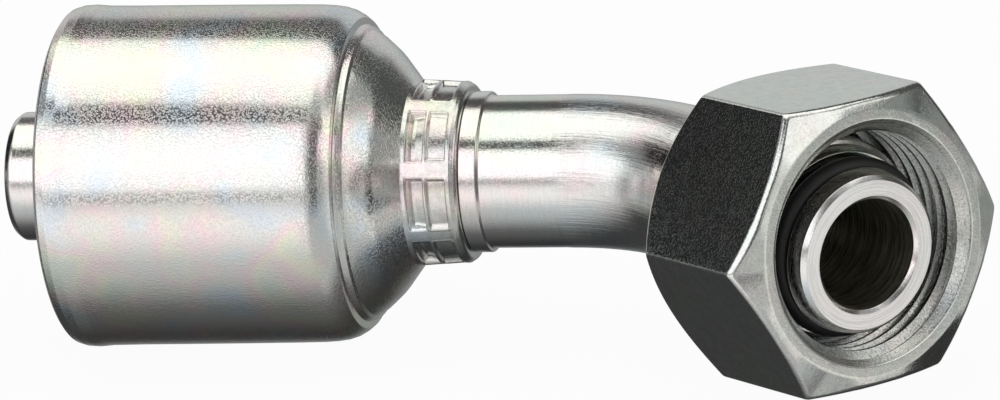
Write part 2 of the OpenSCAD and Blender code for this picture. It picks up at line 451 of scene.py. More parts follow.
@dataclass(frozen=True)
class Zinc:
    """Clear zinc plating on turned, drawn or rolled steel.

    In colour, the film is the plating's faint play of colours, the specks and the mottle are its
    fine and its cloudy stain marks, and the painted ring shade darkens the turning marks, as
    painted shade in place of the darker light that the rings reflect. In relief, the marks are
    rings that follow the turned shape, the streaks run lengthwise where the attribute "drawn" asks
    for them, and the grain is scattered dots. Scales are for coordinates in metres, and pitches and
    heights are millimetres.
    """

    name: str
    steel: Colour = (0.80, 0.80, 0.77)
    film_colours: tuple[Colour, ...] = (
        (0.71, 0.84, 0.74), (0.89, 0.86, 0.72), (0.92, 0.74, 0.78), (0.80, 0.80, 0.80),
        (0.71, 0.79, 0.89))
    film: float = 0.95
    film_scale: float = 90.0
    roughness: float = 0.11
    roughness_spread: float = 0.04
    smear_scale: float = 420.0
    grain_scale: float = 3800.0
    grain_height: float = 0.0105
    speck: float = 0.05
    speck_colour: Colour = (0.25, 0.25, 0.24)
    mottle: float = 0.0
    mottle_scale: float = 700.0
    mottle_colour: Colour = (0.30, 0.31, 0.30)
    # Painted shade: how much and how dark the turning marks are painted, in place of reflected
    # light.
    painted_ring_shade: float = 0.0
    painted_ring_shade_colour: Colour = (0.10, 0.10, 0.10)
    mark_pitch: float = 0.35
    mark_round: float = 2.0
    mark_height: float = 0.002
    streak_height: float = 0.0
    streak_scale: Triple = (90.0, 26.0, 26.0)

    @property
    def ring_scale(self) -> Triple:
        """Scale of the coordinates "turned" that makes rings of a noise."""
        return (1 / (self.mark_pitch * MM), self.mark_round, self.mark_round)

    @staticmethod
    def stretched(w: Wiring, scale: Triple) -> Socket:
        """Adds the coordinates "turned" at the given scale and returns them."""
        turned = w.node("ShaderNodeAttribute", attribute_name="turned").outputs["Vector"]
        return w.node("ShaderNodeMapping", {"Vector": turned, "Scale": scale}).outputs[0]

    def colour(self, w: Wiring, place: Socket) -> Socket:
        """Adds the steel with its film of colours, its stain marks and the painted shade of its
        rings.

        Args:
            w: Tree of the material.
            place: Object coordinates.

        Returns:
            The colour.
        """
        wide = w.noise(place, self.film_scale, 2.5)
        play = w.node("ShaderNodeValToRGB", {"Fac": w.ramp(wide, 0.3, 0.7)})
        stops = play.color_ramp.elements
        while len(stops) < len(self.film_colours):
            stops.new(0.5)
        for k, shade in enumerate(self.film_colours):
            stops[k].position = k / (len(self.film_colours) - 1)
            stops[k].color = (*shade, 1)
        patch = w.noise(place, self.film_scale * 1.9, 3.0)
        amount = w.math("MULTIPLY", w.ramp(patch, 0.3, 0.65), self.film)
        colour = w.blend(amount, self.steel, play.outputs[0])
        fine = w.noise(place, self.grain_scale * 0.8, 2.0)
        stains_and_ring_shade = [(fine, 0.46, 0.3, self.speck, self.speck_colour)]
        # Painted shade: the rings of the turning marks are darkened in colour, in place of
        # reflected light.
        if self.painted_ring_shade:
            rings = w.noise(self.stretched(w, self.ring_scale), 1.3, 3.0, 0.7)
            stains_and_ring_shade.append((rings, 0.42, 0.60, self.painted_ring_shade, self.painted_ring_shade_colour))
        if self.mottle:
            cloud = w.noise(place, self.mottle_scale, 6.0, 0.75)
            stains_and_ring_shade.append((cloud, 0.36, 0.62, self.mottle, self.mottle_colour))
        for noise, low, high, strength, dark in stains_and_ring_shade:
            colour = w.blend(w.math("MULTIPLY", w.ramp(noise, low, high), strength), colour, dark)
        return colour

    def relief(self, w: Wiring, place: Socket) -> Socket:
        """Adds the marks, the streaks and the grain.

        Args:
            w: Tree of the material.
            place: Object coordinates.

        Returns:
            The bumped normal.
        """
        drawn = w.node("ShaderNodeAttribute", attribute_name="drawn").outputs["Fac"]
        marks = w.noise(self.stretched(w, self.ring_scale), 1.0, 3.0, 0.65)
        plain = w.math("MULTIPLY", marks, w.math("SUBTRACT", 1.0, drawn))
        normal = w.bump(plain, self.mark_height)
        if self.streak_height > 0:
            streaks = w.noise(self.stretched(w, self.streak_scale), 1.0, 4.0, 0.7)
            normal = w.bump(w.math("MULTIPLY", streaks, drawn), self.streak_height, normal)
        grain = w.noise(place, self.grain_scale, 2.0, 0.6)
        return w.bump(w.ramp(grain, 0.48, 0.66), self.grain_height, normal)

    def material(self) -> Material:
        """Builds the material.

        Returns:
            The material, which reads Object coordinates and the attributes "turned" and "drawn".
        """
        made, w = new_material(self.name)
        place = w.node("ShaderNodeTexCoord").outputs["Object"]
        smear = w.noise(place, self.smear_scale, 4.0)
        dull = w.ramp(smear, 0.3, 0.7, self.roughness, self.roughness + self.roughness_spread)
        shader = w.node("ShaderNodeBsdfPrincipled", {
            "Base Color": self.colour(w, place), "Metallic": 1.0, "Roughness": dull,
            "Normal": self.relief(w, place)})
        w.node("ShaderNodeOutputMaterial", {"Surface": shader.outputs[0]})
        return made


@dataclass(frozen=True)
class Rubber:
    """Black nitrile rubber with a faint moulded grain."""

    name: str = "nitrile_black"
    colour: Colour = (0.010, 0.010, 0.010)
    dust: float = 2.2
    roughness: float = 0.40
    roughness_spread: float = 0.14
    grain_scale: float = 2600.0
    grain_height: float = 0.004

    def material(self) -> Material:
        """Builds the material.

        Returns:
            The material, which reads Object coordinates.
        """
        made, w = new_material(self.name)
        place = w.node("ShaderNodeTexCoord").outputs["Object"]
        fine = w.noise(place, self.grain_scale, 3.0)
        wide = w.noise(place, self.grain_scale / 10, 2.0)
        dull = w.ramp(wide, 0.3, 0.7, self.roughness, self.roughness + self.roughness_spread)
        dusty = tuple(c * self.dust for c in self.colour)
        shader = w.node("ShaderNodeBsdfPrincipled", {
            "Base Color": w.blend(wide, self.colour, dusty), "Roughness": dull,
            "Normal": w.bump(fine, self.grain_height), "IOR": 1.45})
        w.node("ShaderNodeOutputMaterial", {"Surface": shader.outputs[0]})
        return made


# Pieces


def dress(piece: Piece, body: Body, slot: Slot, *nodes: str) -> None:
    """Ties a finished piece to the CAD model and reports it.

    Args:
        piece: The piece.
        body: Body that it rides on.
        slot: Its material slot. Not used.
        nodes: CAD nodes that it stands for.
    """
    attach(piece, body.value)
    if nodes:
        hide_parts(*nodes)
    piece.data.calc_loop_triangles()
    LOG.info("%s: %d triangles on %s", piece.name, len(piece.data.loop_triangles), body.value)


@dataclass
class CrimpShell:
    """The shell: bead, barrel, shoulder, lip, ledge and dome, with the staked neck behind them."""

    segments: int = 224
    bead: Corners = (
        (0.0, 21.6, 0.4), (0.45, 22.2, 0.5), (1.5, 22.52, 0.8), (2.8, 22.6, 1.2),
        (4.6, 22.44, 2.0))
    barrel: Corners = (
        (9.0, 22.37, 0), (16.0, 22.33, 0), (23.0, 22.28, 0), (30.0, 22.21, 0), (33.6, 22.14, 0))
    shoulder: Corners = (
        (35.2, 22.04, 0), (36.5, 21.85, 0), (37.6, 21.5, 0), (38.5, 20.98, 0), (39.2, 20.4, 0.15))
    ledge: Corners = (
        (39.4, 19.45, 0.15), (39.8, 19.25, 0.12), (40.2, 19.15, 0.08), (40.45, 18.7, 0.15))
    dome: Corners = ((41.3, 18.1, 0), (43.4, 16.2, 9.0))
    tooth_r: float = 17.65
    root_r: float = 18.75
    mouth_r: float = 19.35
    tooth_count: int = 6
    teeth_start: float = 2.5
    teeth_end: float = 35.0
    neck_start: float = 46.52
    neck_end: float = 53.72
    neck_r: float = 12.2
    neck_end_r: float = 11.72
    neck_face_r: float = 10.3
    curl_r: float = 0.75
    hole_r: float = 9.45
    # How far the dome's mesh reaches into the neck's, and the neck's into the dome's.
    dome_reach: float = 1.2
    neck_reach: float = 0.35
    die_count: int = 8
    die_turn: float = 24.6
    rib: float = 11.5
    # The deep row runs from row_start to the ridge, and the shallow row on to row_end.
    row_start: float = 0.5
    ridge: float = 2.95
    row_end: float = 1.35
    deep: float = 1.1
    deep_level: float = 1.1
    deep_rise: float = 0.4
    shallow: float = 0.6
    bulge: float = 0.1
    finish: Zinc = Zinc("zinc_rolled", mark_height=0.0012, mark_pitch=0.5)
    # Darker steel than the shell's: painted shade on the staked neck; its mottle is staining.
    neck_finish_shaded: Zinc = Zinc(
        "zinc_staked_shaded", steel=(0.74, 0.75, 0.72), roughness=0.15, grain_height=0.006, mottle=0.25,
        mark_height=0.001)

    def outline(self) -> np.ndarray:
        """Closed outline of the shell from the mouth to the neck, outside first.

        Returns:
            The points of the outline, as place along the hose axis and radius.
        """
        reach = self.neck_start + self.dome_reach
        outside: list[Corner] = [
            *self.bead, *self.barrel, *self.shoulder, *self.ledge, *self.dome,
            (self.neck_start - 0.1, self.neck_r + 0.05, 0.25), (reach, self.neck_r - 0.9, 0)]
        inside: list[Corner] = [
            (reach, self.hole_r + 0.3, 0), (self.neck_start - 2, self.hole_r, 0),
            (42.4, self.hole_r, 0.2), (41.2, self.hole_r + 1.2, 0.3), (38.0, 15.45, 1.0),
            (self.teeth_end, self.tooth_r, 0.2)]
        pitch = (self.teeth_end - self.teeth_start) / self.tooth_count
        tooth = ((0.95, self.tooth_r, 0.1), (0.8, self.tooth_r, 0.1),
                 (0.45, self.root_r, 0.15), (0.0, self.root_r, 0.15))
        for i in reversed(range(self.tooth_count)):
            start = self.teeth_start + i * pitch
            inside += [(start + share * pitch, radius, corner) for share, radius, corner in tooth]
        inside += [(1.2, self.root_r, 0.2), (0.0, self.mouth_r, 0.3)]
        return rounded(outside + inside)

    def relief(self, along: np.ndarray, turn: np.ndarray) -> np.ndarray:
        """Depth of the die marks on the neck.

        Args:
            along: Place along the hose axis, in millimetres.
            turn: Angle from the middle of a dent, in degrees.

        Returns:
            How far the surface lies under the neck's own cone, in millimetres.
        """
        half = 180 / self.die_count - self.rib / 2
        side = np.abs(turn)
        start, ridge = self.neck_start + self.row_start, self.neck_start + self.ridge
        end = self.neck_end - self.row_end
        level = self.deep_level
        rise = np.clip((along - start - level) / (ridge - start - level), 0, 1)
        deep = window(along, (start, start + 0.3), (ridge - 0.22, ridge))
        deep = deep * (self.deep - self.deep_rise * rise)
        deep = deep * (1 - smooth_step(side, half - 1.1, half + 0.4))
        flat = window(along, (ridge + 0.28, ridge + 0.48), (end - 0.2, end))
        flat = flat * self.shallow * (1 - smooth_step(side, half - 0.9, half - 0.1))
        lipped = np.exp(-((side - half) / 0.8) ** 2) * self.bulge
        return deep + flat - lipped * window(along, (ridge + 0.1, ridge + 0.3), (end, end + 0.2))

    def sector(self) -> Mesh:
        """One die's share of the neck, as an open wedge of a closed ring.

        Returns:
            The mesh, with its axis on Z and the middle of the dent on the angle 0.
        """
        half = 180 / self.die_count
        turns = np.linspace(-half, half, 45)
        start, end, curl_r = self.neck_start, self.neck_end, self.curl_r
        places = np.linspace(start - self.neck_reach, end - curl_r, 74)
        cone = self.neck_r + (self.neck_end_r - self.neck_r) * (places - start) / (end - start)
        foot = np.clip((start + 0.3 - places) / 0.65, 0, 1) ** 2 * self.bulge
        bead = self.bulge * np.exp(-((places - end + 0.95) / 0.4) ** 2)
        angle = np.linspace(0, math.pi / 2, 8)
        curl = np.stack([end - curl_r + curl_r * np.sin(angle),
                         self.neck_end_r - curl_r + curl_r * np.cos(angle)], axis=-1)[1:]
        rest = np.array([(end, self.neck_face_r), (end, self.hole_r + 0.15),
                         (end - 0.15, self.hole_r), (start - self.neck_reach, self.hole_r)])
        columns = []
        for turn in turns:
            depth = self.relief(places, np.full_like(places, turn))
            outer = np.stack([places, cone + foot + bead - depth], axis=-1)
            columns.append(np.concatenate([outer, curl, rest]))
        return turned_mesh("neck_sector", np.array(columns), np.radians(turns), whole=False)

    def neck_tree(self) -> PieceTree:
        """Geometry Nodes that set the wedge round the neck once for each die.

        Returns:
            The tree, which joins the wedges to one ring.
        """
        tree = PieceTree("Dies round the neck",
                         {"Dies": self.die_count, "Turn": math.radians(self.die_turn)})
        points = tree.node("GeometryNodePoints", {"Count": tree.given["Dies"]})
        step = tree.math("DIVIDE", math.tau, tree.given["Dies"])
        index = tree.math("ADD", tree.node("GeometryNodeInputIndex").outputs[0], 0.5)
        angle = tree.math("ADD", tree.math("MULTIPLY", index, step), tree.given["Turn"])
        turn = tree.node("FunctionNodeEulerToRotation", {"Euler": tree.vector(Z=angle)})
        ring = tree.node("GeometryNodeInstanceOnPoints", {
            "Points": points.outputs[0], "Instance": tree.given["Geometry"],
            "Rotation": turn.outputs[0]})
        real = tree.node("GeometryNodeRealizeInstances", {"Geometry": ring.outputs[0]})
        joined = tree.node("GeometryNodeMergeByDistance",
                           {"Geometry": real.outputs[0], "Distance": 1e-6})
        tree.finish(joined.outputs[0])
        return tree

    def build(self) -> None:
        """Builds the shell and its neck."""
        name, along = "crimp_shell_body", HOSE.matrix()
        shell = new_piece(name, lathe(name, self.outline(), self.segments))
        shell.data.transform(along)
        weigh_normals(shell)
        shell.data.materials.append(self.finish.material())
        neck = new_piece("crimp_shell_neck", self.sector())
        # The neck takes the darker steel: painted shade.
        self.neck_tree().applied(neck, self.neck_finish_shaded.material())
        neck.data.transform(along)
        weigh_normals(neck)
        dress(shell, Body.FITTING, Slot.SHELL, "crimp_shell")
        dress(neck, Body.FITTING, Slot.SHELL)


@dataclass
class BentStem:
    """The stem: barbed tail, staking seat, stop ring, tube, bend, and the nose with its collar."""

    segments: int = 192
    tail_tip: float = -8.1
    tail_r: float = 8.55
    tail_bore_r: float = 6.5
    barb_r: float = 7.9
    barb_count: int = 9
    barb_start: float = 2.5
    barb_end: float = 37.7
    seat: float = 41.8
    seat_r: float = 9.4
    stake_r: float = 9.0
    bend_start: float = 66.468
    bend_r: float = 28.0
    bend_angle: float = 45.0
    leg: float = 34.9
    tube_r: float = 10.0
    slack: float = 0.04
    bore_r: float = 7.1
    stop: tuple[float, float] = (53.77, 56.17)
    # Corners of the nose, with their places back from its face.
    nose: Corners = (
        (13.7, 9.9, 0.6), (10.6, 13.0, 0.25), (8.75, 13.0, 0.2), (8.45, 12.75, 0.08),
        (8.35, 12.25, 0.1), (6.6, 11.87, 0.12), (6.3, 11.75, 0.06), (6.3, 8.933, 0.1),
        (2.8, 8.933, 0.1), (2.8, 10.59, 0.06), (0.55, 10.12, 0.2), (0.0, 9.55, 0.08),
        (0.0, 7.6, 0.06), (0.45, 7.1, 0.15))
    # The turning marks of these finishes carry painted ring shade, strongest in the bore.
    finish: Zinc = Zinc(
        "zinc_turned", steel=(0.81, 0.81, 0.80), film=0.6, grain_height=0.004, painted_ring_shade=0.06,
        mark_height=0.010, mark_pitch=0.22, mark_round=4.0, streak_height=0.045)
    faced: Zinc = Zinc(
        "zinc_faced", steel=(0.97, 0.93, 0.94),
        film_colours=((0.97, 0.91, 0.93), (0.94, 0.95, 0.96)), film=0.8, roughness=0.24,
        grain_height=0.003, speck=0.0, painted_ring_shade=0.14, mark_height=0.020, mark_pitch=0.38,
        mark_round=0.7)
    bored: Zinc = Zinc(
        "zinc_bored", steel=(0.85, 0.81, 0.72), film=0.0, roughness=0.28, grain_height=0.004,
        speck=0.2, painted_ring_shade=0.55, mark_height=0.14, mark_pitch=0.50, mark_round=1.0)

    @property
    def bend_end(self) -> float:
        """Place of the bend's end on the straightened stem."""
        return self.face - self.leg

    @property
    def face(self) -> float:
        """Place of the nose's face on the straightened stem."""
        return self.bend_start + math.radians(self.bend_angle) * self.bend_r + self.leg

    def outline(self) -> np.ndarray:
        """Closed outline of the straightened stem, outside first.

        Returns:
            The points of the outline, as place along the stem and radius.
        """
        tip, r, seat, tube = self.tail_tip, self.tail_r, self.seat, self.tube_r - self.slack
        pitch = (self.barb_end - self.barb_start) / self.barb_count
        outside: list[Corner] = [
            (tip, self.tail_bore_r + 0.45, 0.12), (tip, r - 0.75, 0.4), (tip + 0.9, r - 0.04, 0.9),
            (0.0, r, 0), (2.0, r, 0.15), (self.barb_start, self.barb_r, 0.1)]
        for i in range(self.barb_count):
            crest, foot = (self.barb_start + (i + share) * pitch for share in (0.8, 1))
            outside += [(crest, r, 0.06), (foot, self.barb_r, 0.1)]
        outside += [
            (seat - 1, self.barb_r, 0.2), (seat, self.seat_r, 0.2), (47.7, self.seat_r, 0),
            (48.1, self.stake_r, 0), (51.5, self.stake_r, 0), (51.9, self.seat_r, 0),
            (self.stop[0], self.seat_r, 0), (self.stop[0], 10.5, 0.12), (self.stop[1], 10.52, 0.3),
            (self.stop[1] + 0.02, tube, 0.22), (self.bend_start - 0.6, tube, 0),
            (self.bend_start + 0.4, self.tube_r, 0), (self.bend_end - 0.4, self.tube_r, 0),
            (self.bend_end + 0.6, tube, 0)]
        outside += [(self.face - back, radius, corner) for back, radius, corner in self.nose]
        bore: list[Corner] = [
            (self.face - 3, self.bore_r, 0), (self.bend_start + 1, 7.05, 0), (44.8, 7.0, 0.3),
            (42.8, self.tail_bore_r, 0.3), (tip + 0.4, self.tail_bore_r, 0.2)]
        whole = rounded(outside + bore)
        whole = filled(whole, self.bend_start - 0.5, self.bend_end + 0.5, 0.55)
        return filled(whole, tip, self.face, 3.0)

    def zones(self, mesh: Mesh) -> np.ndarray:
        """Finds the faced nose and the bore, and marks the bend as drawn.

        Args:
            mesh: The straight stem, with its axis on Z.

        Returns:
            The number of the finish of each face.
        """
        points = np.empty(len(mesh.vertices) * 3, np.float32)
        mesh.vertices.foreach_get("co", points)
        along = points.reshape(-1, 3)[:, 2] / MM
        inside = np.minimum(along - self.bend_start + 1.5, self.bend_end + 4 - along)
        share = np.clip(inside / 3, 0, 1).astype(np.float32)
        mesh.attributes.new("drawn", "FLOAT", "POINT").data.foreach_set("value", share)
        height, radius = face_places(mesh)
        faced = (height > self.face - 0.06) & (radius > self.bore_r + 0.5)
        bored = radius < self.bore_r + 0.03
        return np.where(faced, 1, np.where(bored, 2, 0)).astype(np.int32)

    def elbow_tree(self) -> PieceTree:
        """Geometry Nodes that bend the straight stem.

        Returns:
            The tree, which turns what lies beyond the bend's start towards -Y.
        """
        tree = PieceTree("Elbow", {"Bend start": self.bend_start * MM,
                                   "Bend radius": self.bend_r * MM,
                                   "Bend angle": math.radians(self.bend_angle)})
        given, place = tree.given, tree.position()
        radius = given["Bend radius"]
        beyond = tree.math("MAXIMUM", tree.math("SUBTRACT", place[0], given["Bend start"]), 0.0)
        curved = tree.math("MINIMUM", beyond, tree.math("MULTIPLY", radius, given["Bend angle"]))
        turn = tree.math("DIVIDE", curved, radius)
        rest = tree.math("SUBTRACT", beyond, curved)
        arm = tree.math("ADD", radius, place[1])
        sine, cosine = tree.math("SINE", turn), tree.math("COSINE", turn)
        gain = tree.math("ADD", tree.math("MULTIPLY", arm, sine),
                         tree.math("MULTIPLY", rest, cosine))
        along = tree.math("ADD", tree.math("SUBTRACT", place[0], beyond), gain)
        drop = tree.math("SUBTRACT", tree.math("MULTIPLY", arm, cosine), radius)
        across = tree.math("SUBTRACT", drop, tree.math("MULTIPLY", rest, sine))
        bent = tree.vector(X=along, Y=across, Z=place[2])
        tree.finish(tree.moved(given["Geometry"], bent))
        return tree

    def build(self) -> None:
        """Turns the stem straight, bends it and gives each zone its finish."""
        name = "bent_stem_body"
        stem = new_piece(name, lathe(name, self.outline(), self.segments))
        zones = self.zones(stem.data)
        stem.data.transform(HOSE.matrix())
        self.elbow_tree().applied(stem, self.finish.material())
        weigh_normals(stem)
        for finish in (self.faced, self.bored):
            stem.data.materials.append(finish.material())
        stem.data.polygons.foreach_set("material_index", zones)
        dress(stem, Body.FITTING, Slot.STEM, "bent_stem")

    def leg_placement(self) -> Placement:
        """Finds the nose of the bent stem.

        Returns:
            The placement with its origin at the centre of the nose's face, along the leg.
        """
        turn = math.radians(self.bend_angle)
        along = (math.cos(turn), -math.sin(turn), 0.0)
        x = self.bend_start + self.bend_r * math.sin(turn) + self.leg * along[0]
        y = -self.bend_r * (1 - math.cos(turn)) + self.leg * along[1]
        return Placement((x, y, 0.0), along)


@dataclass
class SealRing:
    """The rubber ring in the groove of the nose."""

    thickness: float = 2.6
    groove_r: float = 8.933
    groove_mid: float = 4.55
    gap: float = 0.03
    sides: int = 28
    segments: int = 144
    finish: Rubber = Rubber()

    def build(self, leg: Placement) -> None:
        """Builds the ring.

        Args:
            leg: Placement at the face of the nose.
        """
        turns = np.arange(self.sides) * math.tau / self.sides
        half = self.thickness / 2
        centre = self.groove_r + self.gap + half
        outline = np.stack([-self.groove_mid + half * np.cos(turns),
                            centre + half * np.sin(turns)], axis=-1)
        name = "seal_ring_rubber"
        ring = new_piece(name, lathe(name, outline, self.segments))
        ring.data.transform(leg.matrix())
        ring.data.materials.append(self.finish.material())
        dress(ring, Body.FITTING, Slot.SEAL, "seal_ring")


@dataclass
class SwivelNut:
    """The hexagon nut with chamfered ends, countersink, thread, relief, seat and rear bore."""

    flats: float = 36.6
    length: float = 22.8
    face_r: float = 18.6
    face_flat_r: float = 16.9
    chamfer: float = 34.0
    rear_r: float = 17.5
    rear_chamfer: float = 45.0
    turn: float = 87.0
    corner_round: float = 0.9
    rim_step: float = 0.75
    pivot: float = 18.1
    major_r: float = 15.0
    crest_r: float = 13.917
    relief_r: float = 15.2
    rear_bore_r: float = 10.9
    pitch: float = 2.0
    countersink_r: float = 15.5
    thread_end: float = 13.2
    # Half the width of a ridge at its foot and at its crest, in pitches, and how deep it is sunk.
    foot_share: float = 0.46
    crest_share: float = 0.12
    sunk: float = 0.15
    clearance: float = 0.02
    finish: Zinc = Zinc(
        "zinc_drawn", steel=(0.80, 0.815, 0.79), film=0.3, grain_height=0.0055, grain_scale=3400,
        roughness=0.10, roughness_spread=0.03, speck=0.15, mottle=0.18, mark_height=0.002)
    # Darker steel than the outside: painted shade inside the nut and on its thread.
    cut_and_shaded: Zinc = Zinc(
        "zinc_cut_and_shaded", steel=(0.60, 0.61, 0.58), film=0.3, grain_height=0.014,
        speck=0.5, painted_ring_shade=0.12, roughness=0.20, mark_height=0.008, mark_pitch=0.30)

    def rim(self) -> tuple[np.ndarray, np.ndarray]:
        """Points round the hexagon with its rounded corners.

        Returns:
            The angle and the radius of each point.
        """
        corner_r = self.flats / 2 / math.cos(math.pi / 6)
        turns = [math.radians(self.turn + 60 * k) for k in range(6)]
        corners = [(corner_r * math.cos(turn), corner_r * math.sin(turn), self.corner_round)
                   for turn in turns]
        ring = rounded(corners, 6)
        points: list[np.ndarray] = []
        for here, ahead in zip(ring, np.roll(ring, -1, axis=0)):
            count = max(1, round(np.linalg.norm(ahead - here) / self.rim_step))
            points += [here + (ahead - here) * k / count for k in range(count)]
        flat = np.array(points)
        return np.unwrap(np.arctan2(flat[:, 1], flat[:, 0])), np.linalg.norm(flat, axis=1)

    def column(self, radius: float) -> np.ndarray:
        """Closed outline of the nut at one angle, from its front face backwards.

        Args:
            radius: Radius of the hexagon at that angle.

        Returns:
            The points of the outline, with the front face at 0 and the rest below it.
        """
        drop = 0.25 + max(radius - self.face_r, 0.0) * math.tan(math.radians(self.chamfer))
        rise = (radius - self.rear_r) * math.tan(math.radians(self.rear_chamfer))
        end, bore, lead = self.length, self.rear_bore_r, self.major_r - self.countersink_r
        return rounded([
            (0.0, self.countersink_r, 0.6), (0.0, self.face_flat_r, 1.4), (-drop, radius, 1.1),
            (rise - end, radius, 0.5), (-end, self.rear_r, 0.5), (-end, bore + 0.6, 0.15),
            (-end + 0.6, bore, 0.2), (-self.pivot, bore, 0.2), (-15.083, self.crest_r, 0.2),
            (-14.7, self.relief_r, 0.2), (-13.4, self.relief_r, 0.15),
            (-self.thread_end, self.major_r, 0.1), (lead, self.major_r, 0.1)])

    def zones(self, mesh: Mesh) -> np.ndarray:
        """Finds the countersink and the faces inside the nut, which get darker steel as painted
        shade.

        Args:
            mesh: The nut, with its axis on Z and its front face at 0.

        Returns:
            1 for each face of the countersink or of the inside, 0 for the rest.
        """
        height, radius = face_places(mesh)
        return ((radius < self.countersink_r - 0.02) & (height < -0.05)).astype(np.int32)

    def thread_tree(self) -> PieceTree:
        """Geometry Nodes for the helical ridge of the inside thread.

        Returns:
            The tree, which makes the ridge round Z with the front face at 0.
        """
        tree = PieceTree("Inside thread", {
            "Pitch": self.pitch * MM, "Major radius": self.major_r * MM,
            "Crest radius": self.crest_r * MM, "Turns": self.thread_end / self.pitch + 1.0,
            "Countersink radius": self.countersink_r * MM, "End": -self.thread_end * MM,
            "Points per turn": 144})
        given = tree.given
        pitch, major = given["Pitch"], given["Major radius"]
        spiral = tree.node("GeometryNodeCurveSpiral", {
            "Resolution": given["Points per turn"], "Rotations": given["Turns"],
            "Start Radius": major, "End Radius": major,
            "Height": tree.math("MULTIPLY", pitch, given["Turns"])})
        upright = tree.node("GeometryNodeSetCurveNormal", {"Curve": spiral.outputs[0]},
                            mode="Z_UP")
        height = tree.math("SUBTRACT", major, given["Crest radius"])
        foot = tree.math("MULTIPLY", pitch, self.foot_share)
        top = tree.math("MULTIPLY", pitch, self.crest_share)
        corners = {}
        profile = ((-self.sunk * MM, foot, -1.0), (height, top, -1.0),
                   (height, top, 1.0), (-self.sunk * MM, foot, 1.0))
        for k, (inward, spread, sign) in enumerate(profile):
            side = tree.math("MULTIPLY", spread, sign)
            corners[f"Point {k + 1}"] = tree.vector(X=inward, Y=side)
        shape = tree.node("GeometryNodeCurvePrimitiveQuadrilateral", corners, mode="POINTS")
        ridge = tree.node("GeometryNodeCurveToMesh", {
            "Curve": upright.outputs[0], "Profile Curve": shape.outputs[0], "Fill Caps": True})
        start = tree.math("ADD", given["End"], tree.math("MULTIPLY", pitch, 0.3))
        lowered = tree.node("GeometryNodeTransform", {
            "Geometry": ridge.outputs[0], "Translation": tree.vector(Z=start)})
        place = tree.position()
        radius = tree.math("SQRT", tree.math("ADD", tree.math("MULTIPLY", place[0], place[0]),
                                             tree.math("MULTIPLY", place[1], place[1])))
        level = tree.math("MINIMUM", place[2], -self.clearance * MM)
        opening = tree.math("ADD", given["Countersink radius"], level)
        limit = tree.math("MAXIMUM", radius, tree.math("ADD", opening, self.clearance * MM))
        share = tree.math("DIVIDE", limit, radius)
        fitted = tree.vector(X=tree.math("MULTIPLY", place[0], share),
                             Y=tree.math("MULTIPLY", place[1], share), Z=level)
        tree.finish(tree.moved(lowered.outputs[0], fitted))
        return tree

    def build(self, joint: Mapping[str, Any]) -> None:
        """Builds the nut and its thread on the joint's axis.

        Args:
            joint: The record's joint of the nut.
        """
        axis = Vector(joint["axis"]).normalized()
        face = Vector(joint["pos_m"]) / MM + axis * self.pivot
        place = Placement(tuple(face), tuple(axis)).matrix()
        angles, radii = self.rim()
        columns = np.array([self.column(r) for r in radii])
        finish, cut_and_shaded = self.finish.material(), self.cut_and_shaded.material()
        nut = new_piece("swivel_nut_body", turned_mesh("swivel_nut_body", columns, angles))
        zones = self.zones(nut.data)
        nut.data.transform(place)
        weigh_normals(nut)
        for made in (finish, cut_and_shaded):
            nut.data.materials.append(made)
        # Zone 1 takes the darker steel: painted shade in the countersink and inside.
        nut.data.polygons.foreach_set("material_index", zones)
        thread = new_piece("swivel_nut_thread", bpy.data.meshes.new("swivel_nut_thread"))
        # The thread takes the darker steel too: painted shade inside the nut.
        self.thread_tree().applied(thread, cut_and_shaded)
        thread.data.transform(place)
        thread.data.shade_smooth()
        thread.data.set_sharp_from_angle(angle=math.radians(28))
        dress(nut, Body.NUT, Slot.NUT, "swivel_nut")
        dress(thread, Body.NUT, Slot.NUT)


# Studio


COOL = (0.96, 1.0, 0.985)
WARM = (1.0, 0.98, 0.96)
CREAM = (1.0, 1.0, 0.955)


@dataclass(frozen=True)
class Panel:
    """A light or dark stretch of the light tent round the fitting.

    Angles go round the hose axis, in degrees: 0 is level in front, 90 is straight up. Sides go
    from -1 at the left to 1 at the right. The lean turns a stretch further up towards the left,
    in degrees for each unit of side beyond -0.2.
    """

    level: float
    angle: float
    spread: float
    soft: float
    tint: Colour = (1.0, 1.0, 1.0)
    side: float = 0.0
    width: float = 2.0
    side_soft: float = 0.1
    lean: float = 0.0


